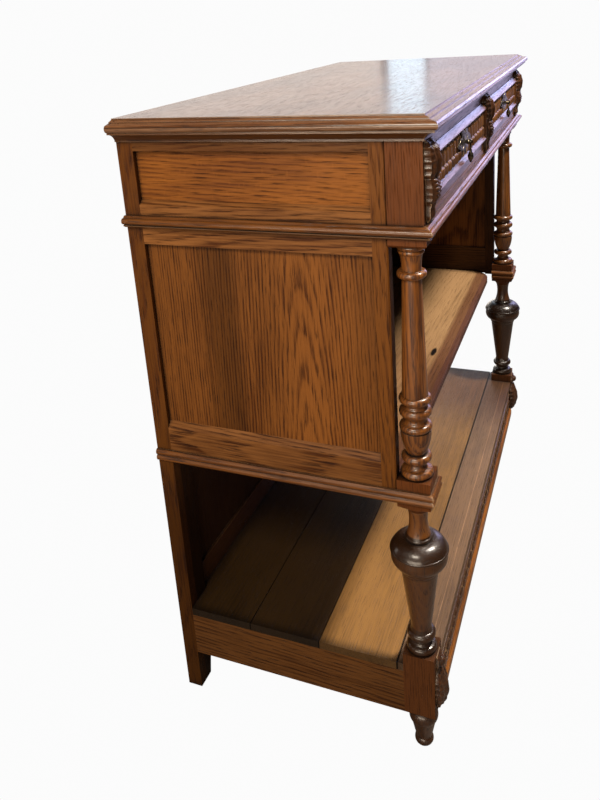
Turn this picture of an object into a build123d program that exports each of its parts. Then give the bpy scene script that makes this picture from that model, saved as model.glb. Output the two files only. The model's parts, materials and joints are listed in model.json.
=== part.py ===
from build123d import *
import os

# Carved oak sideboard buffet in the French Renaissance-revival manner, in millimetres.
# +Z is up, the floor is Z = 0, X runs from the left end to the right end, and the front faces -Y.
# The origin is under the middle of the top. The left end is drawn and the right end is its mirror.

# ---- overall sizes ----
width = 1084.0
depth = 485.0
height = 1045.0

# ---- top board ----
top_thickness = 19.0
top_overhang = 25.0

# ---- leg blocks and end frames ----
block = 50.0
frame_thickness = 20.0
front_stile_width = 22.0
front_stile_chamfer = 2.0
back_post_depth = 27.0
back_post_width = 50.0
back_foot_taper = 16.0

# ---- levels that are measured up from the floor ----
foot_height = 79.0
base_block_height = 115.0
bottom_shelf_top = 175.0
bottom_board = 14.0
middle_shelf_top = 481.0
middle_shelf_thickness = 15.0
mid_block_bottom = 452.0
mid_shoulder = 14.0
mid_block_top = 511.0
string_bottom = 474.0
string_height = 20.5
bottom_rail_height = 73.0

# ---- levels that are measured down from the underside of the top ----
bed_height = 16.0
front_top_rail_height = 30.0
drawer_opening = 89.0
frieze_rail_drop = 30.0
frieze_panel_height = 75.0
middle_rail_height = 68.0
waist_lip = 9.0
waist_height = 18.0
architrave_height = 12.0

# ---- panels ----
panel_recess = 8.0
panel_thickness = 8.0
groove_depth = 5.0
panel_tongue = 4.0
rail_bevel_upper = 7.0
rail_bevel_lower = 11.0

# ---- back ----
back_rail_thickness = 18.0
back_rail_inset = 2.0
back_bottom_rail_top = 222.0
back_middle_rail_height = 105.0
back_top_rail_height = 190.0
back_middle_rail_rise = 59.0
muntin_width = 60.0

# ---- drawers ----
divider_width = 50.0
drawer_gap = 1.0
slide_clearance = 0.5
drawer_front_thickness = 18.0
drawer_side_thickness = 10.0
drawer_side_inset = 1.0
drawer_groove = 4.0
drawer_clear_depth = 100.0
drawer_side_shortfall = 13.0
drawer_bottom_thickness = 6.0
drawer_bottom_lift = 6.0
drawer_frame_width = 12.0
drawer_frame_rise = 8.0
drawer_frame_slope = 9.0
drawer_frame_ridge = 1.5
drawer_plain_band = 20.0
runner_height = 18.0
runner_width = 18.0
guide_height = 16.0
kicker_height = 14.0
kicker_gap = 4.0

# ---- shelves and base ----
shelf_corner_radius = 47.0
shelf_setback = 9.5
shelf_tongue = 8.0
shelf_reed_drops = (0.0, 5.5, 11.0)
shelf_reed_radius = 1.6
front_board_reach = 10.0
board_widths = (133.0, 126.0)
seam_gap = 1.5
apron_thickness = 18.0
apron_setback = 4.0
apron_strip_height = 18.0
apron_strip_rise = 8.0

# ---- carvings ----
corbel_inset = 3.0
corbel_projection = 14.0
corbel_gap = 1.0
base_carving_inset = 5.0
base_carving_height = 106.0
base_carving_projection = 17.0

# ---- brass pulls ----
plate_width = 104.0
plate_margin = 1.5
plate_thickness = 2.0
knuckle_radius = 3.0
knuckle_length = 5.0
knuckle_gap = 0.4
pin_radius = 1.2
pin_clearance = 0.05
drop_clearance = 1.5
drop_length = 30.0
drop_radius = 5.0

# ---- places that follow from those sizes ----
side_x = width / 2 - top_overhang
front_y = -depth / 2 + top_overhang
back_y = depth / 2
block_x = side_x - block
block_y = front_y + block
leg_x = -side_x + block / 2
leg_y = front_y + block / 2
stile_back = block_y + front_stile_width
post_front = back_y - back_post_depth
post_inner = side_x - back_post_width
frame_inner = side_x - frame_thickness
carcass_top = height - top_thickness
bed_bottom = carcass_top - bed_height
drawer_top = carcass_top - front_top_rail_height
drawer_bottom = drawer_top - drawer_opening
waist_top = drawer_bottom - waist_lip
waist_bottom = waist_top - waist_height
architrave_bottom = waist_bottom - architrave_height
frieze_panel_top = carcass_top - frieze_rail_drop
frieze_panel_bottom = frieze_panel_top - frieze_panel_height
side_panel_top = frieze_panel_bottom - middle_rail_height
side_panel_bottom = string_bottom + bottom_rail_height
base_top = foot_height + base_block_height
drawer_side_height = drawer_opening - drawer_side_shortfall
drawer_length = depth - drawer_clear_depth
rail_top = bottom_shelf_top - bottom_board
back_face = back_y - back_rail_inset
back_front = back_face - back_rail_thickness
back_middle_rail_top = middle_shelf_top + back_middle_rail_rise
front_back = front_y + frame_thickness


# ---- shared shapes ----
def brick(x, y, z):
    """A box from three (low, high) pairs."""
    middle = [(low + high) / 2 for low, high in (x, y, z)]
    sides = [high - low for low, high in (x, y, z)]
    return Pos(*middle) * Box(*sides)


def outline(start, *steps):
    """A closed flat face. A step is a point for a line, or (through, end) for an arc."""
    edges = []
    here = start
    for step in steps:
        if isinstance(step[0], tuple):
            through, here_next = step
            edges.append(ThreePointArc(here, through, here_next))
        else:
            here_next = step
            edges.append(Line(here, here_next))
        here = here_next
    if here != start:
        edges.append(Line(here, start))
    return make_face(edges)


def turned(start, *steps):
    """A solid of revolution about the leg's axis, from an outline of (radius, height) steps."""
    return Pos(leg_x, leg_y, 0) * revolve(Plane.XZ * outline(start, *steps), axis=Axis.Z)


def bead(radius, peak, low, high):
    """A round bead, going down: from (radius, high) out to the peak and back at low."""
    return (peak, (low + high) / 2), (radius, low)


def moulding_run(section, start, end, mitre_start=True, mitre_end=True):
    """A moulding along a straight wall from start to end, with its face on the right-hand side."""
    first, last = Vector(*start), Vector(*end)
    along = (last - first).normalized()
    out = Vector(along.Y, -along.X, 0)
    reach = 2 * top_overhang
    plane = Plane(origin=last + along * reach, x_dir=out, z_dir=along * -1)
    run = extrude(plane * section, amount=(last - first).length + 2 * reach)
    start_normal = along + out if mitre_start else along
    end_normal = along - out if mitre_end else along
    run = split(run, bisect_by=Plane(origin=first, z_dir=start_normal), keep=Keep.TOP)
    return split(run, bisect_by=Plane(origin=last, z_dir=end_normal), keep=Keep.BOTTOM)


def around_the_case(section):
    """The three runs of a moulding that goes along the left end, the front and the right end."""
    corners = [(-side_x, back_y), (-side_x, front_y), (side_x, front_y), (side_x, back_y)]
    left = moulding_run(section, corners[0], corners[1], mitre_start=False)
    front = moulding_run(section, corners[1], corners[2])
    right = moulding_run(section, corners[2], corners[3], mitre_end=False)
    return [left, front, right]


def save(name, *shapes):
    """Write a node's STEP file from its separate solids."""
    solids = [solid for shape in shapes for solid in shape.solids()]
    export_step(solids[0] if len(solids) == 1 else Compound(children=solids), f"parts/{name}.step")


def save_pair(name, *shapes):
    """Write a left node and its mirrored right node."""
    save(f"left_{name}", *shapes)
    save(f"right_{name}", *[mirror(shape, about=Plane.YZ) for shape in shapes])


# ---- top ----
def top_board():
    """The slab, with its stepped and rounded edge on the front and both ends."""
    step, cyma, nose = 4.6, 12.0, 19.5
    nose_top = height - 7.5
    section = outline(
        (0, carcass_top),
        (nose, carcass_top),
        ((top_overhang, (carcass_top + nose_top) / 2), (nose, nose_top)),
        (cyma, height - 6.0),
        (cyma, height - 4.5),
        (step, height - 2.0),
        (step, height),
        (0, height),
    )
    slab = brick((-side_x, side_x), (front_y, back_y), (carcass_top, height))
    for run in around_the_case(section):
        slab += run
    return slab


def bed_section():
    """The cove under the overhang of the top."""
    lip, foot, fillet = 20.0, 3.0, 3.0
    hollow = (foot + 0.35 * (lip - foot), bed_bottom + 0.6 * bed_height)
    return outline(
        (0, carcass_top),
        (lip, carcass_top),
        (lip, carcass_top - fillet),
        (hollow, (foot, bed_bottom + fillet)),
        (foot, bed_bottom),
        (0, bed_bottom),
    )


def waist_section():
    """A fillet, a round bead and a small bead below it."""
    fillet, nose, neck, lower = 5.0, 14.0, 8.0, 10.0
    bead_top, bead_bottom = waist_top - 3.0, waist_top - 12.0
    return outline(
        (0, waist_top),
        (fillet, waist_top),
        (neck, bead_top),
        ((nose, (bead_top + bead_bottom) / 2), (neck, bead_bottom)),
        (neck, bead_bottom - 1.0),
        (lower, waist_bottom + 3.0),
        (fillet, waist_bottom),
        (0, waist_bottom),
    )


def string_section():
    """Two beads of one size, one above the other."""
    inner, peak = 3.0, 5.8
    middle = string_bottom + string_height / 2
    top = string_bottom + string_height
    return outline(
        (0, top),
        (inner, top),
        ((peak, (top + middle) / 2), (inner, middle)),
        ((peak, (string_bottom + middle) / 2), (inner, string_bottom)),
        (0, string_bottom),
    )


def string_moulding():
    """Along the left end, across the front of the mid block and back along its inner side."""
    section = string_section()
    corners = [(-side_x, back_y), (-side_x, front_y), (-block_x, front_y), (-block_x, block_y)]
    end = moulding_run(section, corners[0], corners[1], mitre_start=False)
    front = moulding_run(section, corners[1], corners[2])
    inner = moulding_run(section, corners[2], corners[3], mitre_end=False)
    return end, front, inner


# ---- left end frame ----
def end_opening(low, high, reach):
    """The space of a panel in the end frame, reaching into the grooves round it."""
    face = -side_x + panel_recess
    return brick(
        (face, face + panel_thickness),
        (stile_back - reach, post_front + reach),
        (low - reach, high + reach),
    )


def end_grooves():
    """Both grooves of the end frame, as one cutting shape."""
    upper = end_opening(frieze_panel_bottom, frieze_panel_top, groove_depth)
    return upper + end_opening(side_panel_bottom, side_panel_top, groove_depth)


def back_panel_spaces(reach):
    """The four panel spaces of the back, reaching into the grooves round them."""
    face = back_front + (back_rail_thickness - panel_thickness) / 2
    y = (face, face + panel_thickness)
    lower = (back_bottom_rail_top - reach, back_middle_rail_top - back_middle_rail_height + reach)
    upper = (back_middle_rail_top - reach, carcass_top - back_top_rail_height + reach)
    x = (muntin_width / 2 - reach, post_inner + reach)
    spaces = []
    for z in (lower, upper):
        spaces.append(brick(x, y, z))
        spaces.append(brick((-x[1], -x[0]), y, z))
    return spaces


def cut_all(shape, tools):
    for tool in tools:
        shape -= tool
    return shape


def back_post():
    """The rear post, down to a foot that tapers on its inner side."""
    shape = outline(
        (-side_x, 0),
        (-post_inner - back_foot_taper, 0),
        (-post_inner, foot_height),
        (-post_inner, carcass_top),
        (-side_x, carcass_top),
    )
    post = extrude(Plane(origin=(0, back_y, 0), x_dir=(1, 0, 0), z_dir=(0, -1, 0)) * shape, back_post_depth)
    return cut_all(post, [end_grooves()] + back_panel_spaces(groove_depth))


def front_stile():
    """The stile behind the leg blocks, chamfered along the joint on its outer face."""
    stile = brick((-side_x, -frame_inner), (block_y, stile_back), (string_bottom, carcass_top))
    edge = stile.edges().filter_by(Axis.Z).group_by(Axis.X)[0].sort_by(Axis.Y)[0]
    return chamfer(edge, length=front_stile_chamfer) - end_grooves()


def end_rail(low, high, bevel):
    """A rail of the end frame. Its upper outer edge is bevelled down to the panel."""
    y = (stile_back, post_front)
    rail = brick((-side_x, -frame_inner), y, (low, high))
    if bevel:
        wedge = outline((-side_x, high - bevel), (-side_x, high), (-side_x + panel_recess, high))
        side = Plane(origin=(0, y[1], 0), x_dir=(1, 0, 0), z_dir=(0, -1, 0))
        rail -= extrude(side * wedge, y[1] - y[0])
    return rail - end_grooves()


def bottom_rail():
    """The lowest rail of the frame, rebated inside for the tongue of the middle shelf."""
    rail = end_rail(string_bottom, side_panel_bottom, rail_bevel_lower)
    rebate = brick(
        (-frame_inner - shelf_tongue, -frame_inner),
        (stile_back, post_front),
        (string_bottom, middle_shelf_top),
    )
    return rail - rebate


# ---- turned leg ----
def column():
    """The turned column between the mid block and the architrave block."""
    top, foot = architrave_bottom, mid_block_top
    return turned(
        (0, top),
        (17.0, top),
        bead(17.0, 19.8, top - 9.0, top),
        bead(16.0, 18.2, top - 15.0, top - 9.0),
        ((14.2, top - 27.0), (14.0, top - 38.0)),
        (17.5, top - 39.0),
        bead(17.5, 21.0, top - 49.0, top - 39.0),
        (13.8, top - 51.0),
        (18.8, foot + 130.0),
        bead(20.0, 23.6, foot + 119.0, foot + 129.0),
        (17.0, foot + 118.0),
        ((16.4, foot + 114.5), (18.5, foot + 111.0)),
        bead(19.5, 23.6, foot + 98.0, foot + 110.0),
        ((16.0, foot + 92.0), (19.5, foot + 86.0)),
        bead(20.5, 24.0, foot + 75.0, foot + 86.0),
        (22.6, foot + 74.0),
        ((20.6, foot + 55.0), (13.5, foot + 36.0)),
        bead(14.5, 22.4, foot + 24.0, foot + 35.0),
        ((13.0, foot + 18.0), (18.0, foot + 12.0)),
        (21.5, foot + 11.0),
        bead(21.5, 24.4, foot, foot + 11.0),
        (0, foot),
    )


def mid_block():
    """The square block at the shelf, turned down to the baluster at its lower shoulder."""
    cube = brick((-side_x, -block_x), (front_y, block_y), (mid_block_bottom, mid_block_top))
    corner = block * 0.7072
    shoulder = turned(
        (0, mid_block_top + 1),
        (corner, mid_block_top + 1),
        (corner, mid_block_bottom + mid_shoulder),
        ((0.62 * corner, mid_block_bottom + 0.62 * mid_shoulder), (16.0, mid_block_bottom)),
        (0, mid_block_bottom),
    )
    return cube & shoulder


def baluster():
    """The lower turning, with its large flattened knob."""
    top, foot = mid_block_bottom, base_top
    return turned(
        (0, top),
        (16.0, top),
        ((13.9, top - 20.0), (19.0, top - 46.0)),
        bead(19.0, 21.0, top - 52.0, top - 46.0),
        ((35.5, top - 57.0), (43.4, top - 68.0)),
        bead(43.4, 44.8, top - 72.0, top - 68.0),
        (42.4, top - 73.0),
        (43.2, top - 79.0),
        ((40.6, top - 92.0), (31.6, top - 99.0)),
        (30.6, top - 105.0),
        (28.8, top - 108.0),
        (16.0, foot + 44.0),
        (17.5, foot + 37.0),
        bead(17.5, 22.6, foot + 23.0, foot + 36.0),
        ((14.4, foot + 18.0), (18.5, foot + 13.0)),
        (21.0, foot + 12.0),
        bead(21.0, 23.8, foot, foot + 12.0),
        (0, foot),
    )


def turned_foot():
    """A ring, a cone and a small ball."""
    top = foot_height
    return turned(
        (0, top),
        (18.0, top),
        (17.0, top - 6.0),
        bead(20.0, 23.8, top - 30.0, top - 8.0),
        (13.0, 15.0),
        bead(10.0, 15.2, 0.0, 13.0),
        (0, 0),
    )


def leg_block(low, high):
    return brick((-side_x, -block_x), (front_y, block_y), (low, high))


def architrave_block():
    """The small moulded block that carries the corner block on the column."""
    rise = 3.0
    x = (-side_x - rise, -block_x + rise)
    cap = brick(x, (front_y - rise, block_y), (architrave_bottom, waist_bottom))
    lower = cap.faces().sort_by(Axis.Z)[0].edges()
    outer = lower.sort_by(Axis.Y)[:-1]
    return chamfer(outer, length=rise)


# ---- carvings, as plain envelopes ----
def corbel(middle, support):
    """A scroll bracket under the top: a wide head, a waist, a lower scroll and a tail."""
    corbel_width = support - 2 * corbel_inset
    top = bed_bottom - corbel_gap
    tail = waist_top + corbel_gap
    out = front_y - corbel_projection
    shape = outline(
        (front_y, top),
        (out, top),
        ((out + 3.0, top - 24.0), (out + 6.0, top - 46.0)),
        ((out, top - 60.0), (out + 6.0, top - 74.0)),
        ((out + 10.0, top - 92.0), (front_y - 3.0, tail)),
        (front_y, tail),
    )
    left = middle - corbel_width / 2
    return extrude(Plane(origin=(left, 0, 0), x_dir=(0, 1, 0), z_dir=(1, 0, 0)) * shape, corbel_width)


def base_carving():
    """The leaf scroll on the front of the base block."""
    base_carving_width = block - 2 * base_carving_inset
    low = foot_height + (base_block_height - base_carving_height) / 2
    high = low + base_carving_height
    out = front_y - base_carving_projection
    shape = outline(
        (front_y, high),
        (front_y - 6.0, high),
        ((out, high - 30.0), (front_y - 9.0, high - 62.0)),
        ((out + 2.0, low + 20.0), (front_y - 6.0, low)),
        (front_y, low),
    )
    left = leg_x - base_carving_width / 2
    return extrude(Plane(origin=(left, 0, 0), x_dir=(0, 1, 0), z_dir=(1, 0, 0)) * shape, base_carving_width)


# ---- case between the ends ----
def back_rails():
    """The top, middle and bottom rails of the back, grooved for its panels."""
    x, y = (-post_inner, post_inner), (back_front, back_face)
    levels = (
        (foot_height, back_bottom_rail_top),
        (back_middle_rail_top - back_middle_rail_height, back_middle_rail_top),
        (carcass_top - back_top_rail_height, carcass_top),
    )
    return [cut_all(brick(x, y, z), back_panel_spaces(groove_depth)) for z in levels]


def back_muntins():
    """The two upright members in the middle of the back."""
    x, y = (-muntin_width / 2, muntin_width / 2), (back_front, back_face)
    levels = (
        (back_bottom_rail_top, back_middle_rail_top - back_middle_rail_height),
        (back_middle_rail_top, carcass_top - back_top_rail_height),
    )
    return [cut_all(brick(x, y, z), back_panel_spaces(groove_depth)) for z in levels]


def middle_shelf():
    """The shelf, with rounded front corners and a tongue at each end."""
    front = block_y + shelf_setback
    low = middle_shelf_top - middle_shelf_thickness
    shelf = brick((-frame_inner, frame_inner), (front, back_front), (low, middle_shelf_top))
    corners = shelf.edges().filter_by(Axis.Z).sort_by(Axis.Y)[:2]
    shelf = fillet(corners, radius=shelf_corner_radius)
    for drop in shelf_reed_drops:
        z = middle_shelf_top - drop
        turns = ((-frame_inner, back_front, z), (-frame_inner, front, z), (frame_inner, front, z))
        rim = FilletPolyline(*turns, (frame_inner, back_front, z), radius=shelf_corner_radius)
        shelf -= sweep(Plane(origin=rim @ 0, z_dir=rim % 0) * Circle(shelf_reed_radius), path=rim)
    for side in (-1, 1):
        x = sorted((side * frame_inner, side * (frame_inner + shelf_tongue)))
        shelf += brick(x, (front + shelf_corner_radius, post_front), (string_bottom, middle_shelf_top))
    notch_x = ((-side_x, -post_inner), (post_inner, side_x))
    return cut_all(shelf, [brick(x, (post_front, back_y), (low - 1, middle_shelf_top + 1)) for x in notch_x])


def bottom_boards():
    """Three long boards and the front board, which fits between the base blocks."""
    z = (rail_top, bottom_shelf_top)
    front = block_y + front_board_reach
    middle = front + board_widths[0]
    rear = middle + board_widths[1]
    half = seam_gap / 2
    whole = (-side_x, side_x)
    first = brick(whole, (rear + half, post_front), z)
    first += brick((-post_inner, post_inner), (post_front, back_front), z)
    second = brick(whole, (middle + half, rear - half), z)
    third = brick(whole, (front + half, middle - half), z)
    fourth = brick(whole, (block_y, front - half), z)
    fourth += brick((-block_x, block_x), (front_y, block_y), z)
    return first, second, third, fourth


def front_apron():
    """The board under the front edge of the bottom shelf, with a strip along its foot."""
    x = (-block_x, block_x)
    face = front_y + apron_setback
    board = brick(x, (face, face + apron_thickness), (foot_height, rail_top))
    strip = brick(x, (face - apron_strip_rise, face), (foot_height, foot_height + apron_strip_height))
    strip = chamfer(strip.edges().filter_by(Axis.X).group_by(Axis.Z)[-1].sort_by(Axis.Y)[0], length=5.0)
    return board + strip


def drawer_supports():
    """Runners below, guides beside and kickers above each drawer, as separate battens."""
    runner_z = (drawer_bottom - runner_height, drawer_bottom)
    kicker_low = drawer_bottom + slide_clearance + drawer_side_height + kicker_gap
    kicker_z = (kicker_low, kicker_low + kicker_height)
    between_rails = (front_back, back_front)
    behind_block = (block_y, post_front)
    end_x = (-block_x, -block_x + runner_width)
    middle_x = (-divider_width / 2 - runner_width, divider_width / 2 + runner_width)
    ends = [brick(end_x, between_rails, z) for z in (runner_z, kicker_z)]
    ends += [brick((-frame_inner, -block_x), behind_block, (runner_z[0], drawer_bottom + guide_height))]
    ends += [mirror(batten, about=Plane.YZ) for batten in ends]
    middle = [brick(middle_x, between_rails, z) for z in (runner_z, kicker_z)]
    guide_x = (-divider_width / 2, divider_width / 2)
    return ends + middle + [brick(guide_x, between_rails, (drawer_bottom, drawer_bottom + guide_height))]


# ---- left drawer ----
opening_x = (-block_x, -divider_width / 2)
drawer_x = (opening_x[0] + drawer_gap, opening_x[1] - drawer_gap)
front_z = (drawer_bottom + drawer_gap, drawer_top - drawer_gap)
side_z = (drawer_bottom + slide_clearance, drawer_bottom + slide_clearance + drawer_side_height)
side_outer = (drawer_x[0] + drawer_side_inset, drawer_x[1] - drawer_side_inset)
side_left = (side_outer[0], side_outer[0] + drawer_side_thickness)
side_right = (side_outer[1] - drawer_side_thickness, side_outer[1])
drawer_y = (front_y + drawer_front_thickness, front_y + drawer_front_thickness + drawer_length)
drawer_middle = (drawer_x[0] + drawer_x[1]) / 2
field_height = front_z[1] - front_z[0] - drawer_plain_band - 2 * drawer_frame_width
plate_height = field_height - 2 * plate_margin


def drawer_front():
    """The front board, with a raised frame round its carved field. The wide slopes face up."""
    board = brick(drawer_x, (front_y, drawer_y[0]), front_z)
    low, high = front_z[0] + drawer_plain_band, front_z[1]
    centre = Plane(origin=(drawer_middle, front_y, (low + high) / 2), x_dir=(1, 0, 0), z_dir=(0, -1, 0))
    long, tall = drawer_x[1] - drawer_x[0], high - low
    inset, ridge = 2 * drawer_frame_width, 2 * drawer_frame_ridge
    steep = drawer_frame_width - drawer_frame_slope - drawer_frame_ridge
    crest = centre * Pos(0, (steep - drawer_frame_slope) / 2, drawer_frame_rise)
    crest_long, crest_tall = long - drawer_frame_width + drawer_frame_ridge, tall - drawer_frame_slope - steep
    raised = loft([centre * Rectangle(long, tall), crest * Rectangle(crest_long, crest_tall)])
    field = loft([
        centre * Rectangle(long - inset, tall - inset),
        crest * Rectangle(crest_long - ridge, crest_tall - ridge),
    ])
    return board + (raised - field) - drawer_base()


def drawer_sides():
    return [brick(x, drawer_y, side_z) - drawer_base() for x in (side_left, side_right)]


def drawer_back():
    x = (side_left[1], side_right[0])
    return brick(x, (drawer_y[1] - drawer_side_thickness, drawer_y[1]), side_z)


def drawer_base():
    """The thin bottom board, let into grooves in the sides and the front."""
    low = side_z[0] + drawer_bottom_lift
    x = (side_left[1] - drawer_groove, side_right[0] + drawer_groove)
    y = (drawer_y[0] - drawer_groove, drawer_y[1] - drawer_side_thickness)
    return brick(x, y, (low, low + drawer_bottom_thickness))


# ---- left pull ----
pull_height = (front_z[0] + drawer_plain_band + front_z[1]) / 2
pin_y = front_y - drawer_frame_rise - drop_clearance - drop_radius
pin_start = drawer_middle - knuckle_length / 2 - knuckle_gap - knuckle_length


def along_x(radius, start, length):
    """A round bar along X on the pull's hinge line."""
    place = Plane(origin=(start, pin_y, pull_height), x_dir=(0, 1, 0), z_dir=(1, 0, 0))
    return extrude(place * Circle(radius), amount=length)


def pull_plate():
    """The pierced plate as an oval, with two knuckles and the fixed pin between them."""
    centre = Plane(origin=(drawer_middle, front_y, pull_height), x_dir=(1, 0, 0), z_dir=(0, -1, 0))
    plate = extrude(centre * Ellipse(plate_width / 2, plate_height / 2), amount=plate_thickness)
    step = knuckle_length + knuckle_gap
    for start in (pin_start, pin_start + 2 * step):
        knuckle = along_x(knuckle_radius, start, knuckle_length)
        web = brick(
            (start, start + knuckle_length),
            (pin_y, front_y - plate_thickness),
            (pull_height - knuckle_radius, pull_height + knuckle_radius),
        )
        plate += knuckle + web
    return plate + along_x(pin_radius, pin_start, 2 * step + knuckle_length)


def pull_drop():
    """The hanging drop: an eye on the pin, a slim neck and a pear-shaped end."""
    start = pin_start + knuckle_length + knuckle_gap
    eye = along_x(knuckle_radius, start, knuckle_length)
    low = pull_height - drop_length - knuckle_radius
    pear = outline(
        (0, pull_height - 2.0),
        (1.8, pull_height - 2.0),
        (1.8, pull_height - 9.0),
        ((drop_radius, low + 5.0), (1.6, low)),
        (0, low),
    )
    drop = Pos(drawer_middle, pin_y, 0) * revolve(Plane.XZ * pear, axis=Axis.Z)
    hole = along_x(pin_radius + pin_clearance, start - 1.0, knuckle_length + 2.0)
    return eye + drop - hole


# ---- the pieces ----
os.makedirs("parts", exist_ok=True)

save("top_board", top_board())
save("bed_moulding", *around_the_case(bed_section()))
save("waist_moulding", *around_the_case(waist_section()))
save_pair("string_moulding", *string_moulding())

save_pair("back_post", back_post())
save_pair("front_stile", front_stile())
save_pair("frieze_top_rail", end_rail(frieze_panel_top, carcass_top, 0))
save_pair("middle_rail", end_rail(side_panel_top, frieze_panel_bottom, rail_bevel_upper))
save_pair("bottom_rail", bottom_rail())
save_pair("frieze_panel", end_opening(frieze_panel_bottom, frieze_panel_top, panel_tongue))
save_pair("side_panel", end_opening(side_panel_bottom, side_panel_top, panel_tongue))

save_pair("corner_block", leg_block(waist_bottom, carcass_top))
save("architrave_blocks", architrave_block(), mirror(architrave_block(), about=Plane.YZ))
save_pair("column", column())
save_pair("mid_block", mid_block())
save_pair("baluster", baluster())
save_pair("base_block", leg_block(foot_height, base_top))
save("turned_feet", turned_foot(), mirror(turned_foot(), about=Plane.YZ))
side_rail = brick((-side_x, -frame_inner), (block_y, post_front), (foot_height, rail_top))
save_pair("base_side_rail", side_rail)

save_pair("corbel", corbel(leg_x, block))
save("centre_corbel", corbel(0.0, divider_width))
save("base_carvings", base_carving(), mirror(base_carving(), about=Plane.YZ))

rail_x, rail_y = (-block_x, block_x), (front_y, front_back)
save("front_top_rail", brick(rail_x, rail_y, (drawer_top, carcass_top)))
save("front_bottom_rail", brick(rail_x, rail_y, (waist_bottom, drawer_bottom)))
divider_x = (-divider_width / 2, divider_width / 2)
save("centre_divider", brick(divider_x, rail_y, (drawer_bottom, drawer_top)))
save("drawer_supports", *drawer_supports())
save("back_rails", *back_rails())
save("back_muntins", *back_muntins())
save("back_panels", *back_panel_spaces(panel_tongue))
save("middle_shelf", middle_shelf())
save("bottom_boards", *bottom_boards())
save("front_apron", front_apron())

save_pair("drawer_front", drawer_front())
save_pair("drawer_sides", *drawer_sides())
save_pair("drawer_back", drawer_back())
save_pair("drawer_base", drawer_base())
save_pair("pull_plate", pull_plate())
save_pair("pull_drop", pull_drop())
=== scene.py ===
# %% [markdown]
# # A carved oak sideboard
# The cabinet work comes ready made from the imported model: posts, rails, panels, boards, turnings and drawers.
# This script gives it what a carver, a polisher and a photographer would add: carved relief, brass pulls, oak with
# its grain, worn edges and wax, painted shade, highlights and sheen, and a softly lit pale room.

# %% Load the cabinet as a fixed frame
import bpy
import bmesh
import json
import math
from mathutils import Euler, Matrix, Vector


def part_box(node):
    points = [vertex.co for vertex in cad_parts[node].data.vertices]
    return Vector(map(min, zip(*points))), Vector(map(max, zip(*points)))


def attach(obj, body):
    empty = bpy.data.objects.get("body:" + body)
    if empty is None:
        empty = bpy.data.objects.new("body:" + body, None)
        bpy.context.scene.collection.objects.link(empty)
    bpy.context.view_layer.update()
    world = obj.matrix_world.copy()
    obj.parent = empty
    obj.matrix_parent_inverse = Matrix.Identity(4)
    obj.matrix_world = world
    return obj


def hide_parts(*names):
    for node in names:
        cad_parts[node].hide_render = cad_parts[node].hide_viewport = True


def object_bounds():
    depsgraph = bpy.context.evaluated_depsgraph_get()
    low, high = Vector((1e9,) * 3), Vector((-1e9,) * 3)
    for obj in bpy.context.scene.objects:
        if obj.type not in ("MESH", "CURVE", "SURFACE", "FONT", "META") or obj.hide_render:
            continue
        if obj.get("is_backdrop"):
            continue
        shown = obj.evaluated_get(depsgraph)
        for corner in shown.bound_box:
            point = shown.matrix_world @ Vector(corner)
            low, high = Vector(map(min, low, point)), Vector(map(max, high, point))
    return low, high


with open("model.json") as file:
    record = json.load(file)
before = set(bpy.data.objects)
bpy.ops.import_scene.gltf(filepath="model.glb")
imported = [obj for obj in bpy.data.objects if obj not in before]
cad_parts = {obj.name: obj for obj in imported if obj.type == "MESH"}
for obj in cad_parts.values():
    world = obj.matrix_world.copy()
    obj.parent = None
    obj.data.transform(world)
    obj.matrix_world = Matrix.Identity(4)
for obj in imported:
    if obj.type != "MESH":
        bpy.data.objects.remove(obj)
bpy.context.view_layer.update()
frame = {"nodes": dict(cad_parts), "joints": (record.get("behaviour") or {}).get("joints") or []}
nodes = frame["nodes"]
scene = bpy.context.scene

# %% [markdown]
# The camera stands off the left end, a little above the top board, and is rolled a few degrees, as a hand-held
# camera is. Its lens is shifted down so that upright lines stay nearly upright while the view looks down on the piece.

# %% Camera
camera_place = Vector((-1.435, -0.429, 1.169))
camera_heading = math.radians(22.851)
camera_pitch = math.radians(-15.986)
camera_roll = math.radians(-4.026)

camera = bpy.data.objects.new("camera", bpy.data.cameras.new("camera"))
scene.collection.objects.link(camera)
camera.location = camera_place
aim = Euler((math.pi / 2 + camera_pitch, 0, camera_heading - math.pi / 2)).to_matrix()
camera.rotation_euler = (aim @ Euler((0, 0, camera_roll)).to_matrix()).to_euler()
camera.data.sensor_width = 36
camera.data.lens = 33.637
camera.data.shift_x = 0.0005
camera.data.shift_y = -0.2104
camera.data.clip_start = 0.05
scene.camera = camera
print("camera turned", [round(math.degrees(a), 1) for a in camera.rotation_euler])

# %% [markdown]
# The room is dim, though its floor and sky are seen pale. A small lamp under the ceiling shines down steeply on the
# front, so that the shelf throws a shadow over the boards below, and the boards' colour paints that shade in too.
# A low warm panel lights the near end. The rest stand far off the right end, where the polished top and the front
# mirror them: pale walls, a bright window, a violet one.

# %% Floor, sky and lights
def soft_panel(name, place, target, width, height, power, colour):
    """A rectangular area light that faces its target and isn't seen itself."""
    data = bpy.data.lights.new(name, "AREA")
    data.shape = "RECTANGLE"
    data.size, data.size_y = width, height
    data.energy, data.color = power, colour
    lamp = bpy.data.objects.new(name, data)
    scene.collection.objects.link(lamp)
    lamp.location = place
    lamp.rotation_euler = (Vector(target) - Vector(place)).to_track_quat("-Z", "Y").to_euler()
    lamp.visible_camera = False
    return lamp


def flat_square(name, half):
    mesh = bpy.data.meshes.new(name)
    mesh.from_pydata([(-half, -half, 0), (half, -half, 0), (half, half, 0), (-half, half, 0)], [], [(0, 1, 2, 3)])
    square = bpy.data.objects.new(name, mesh)
    scene.collection.objects.link(square)
    return square


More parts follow.
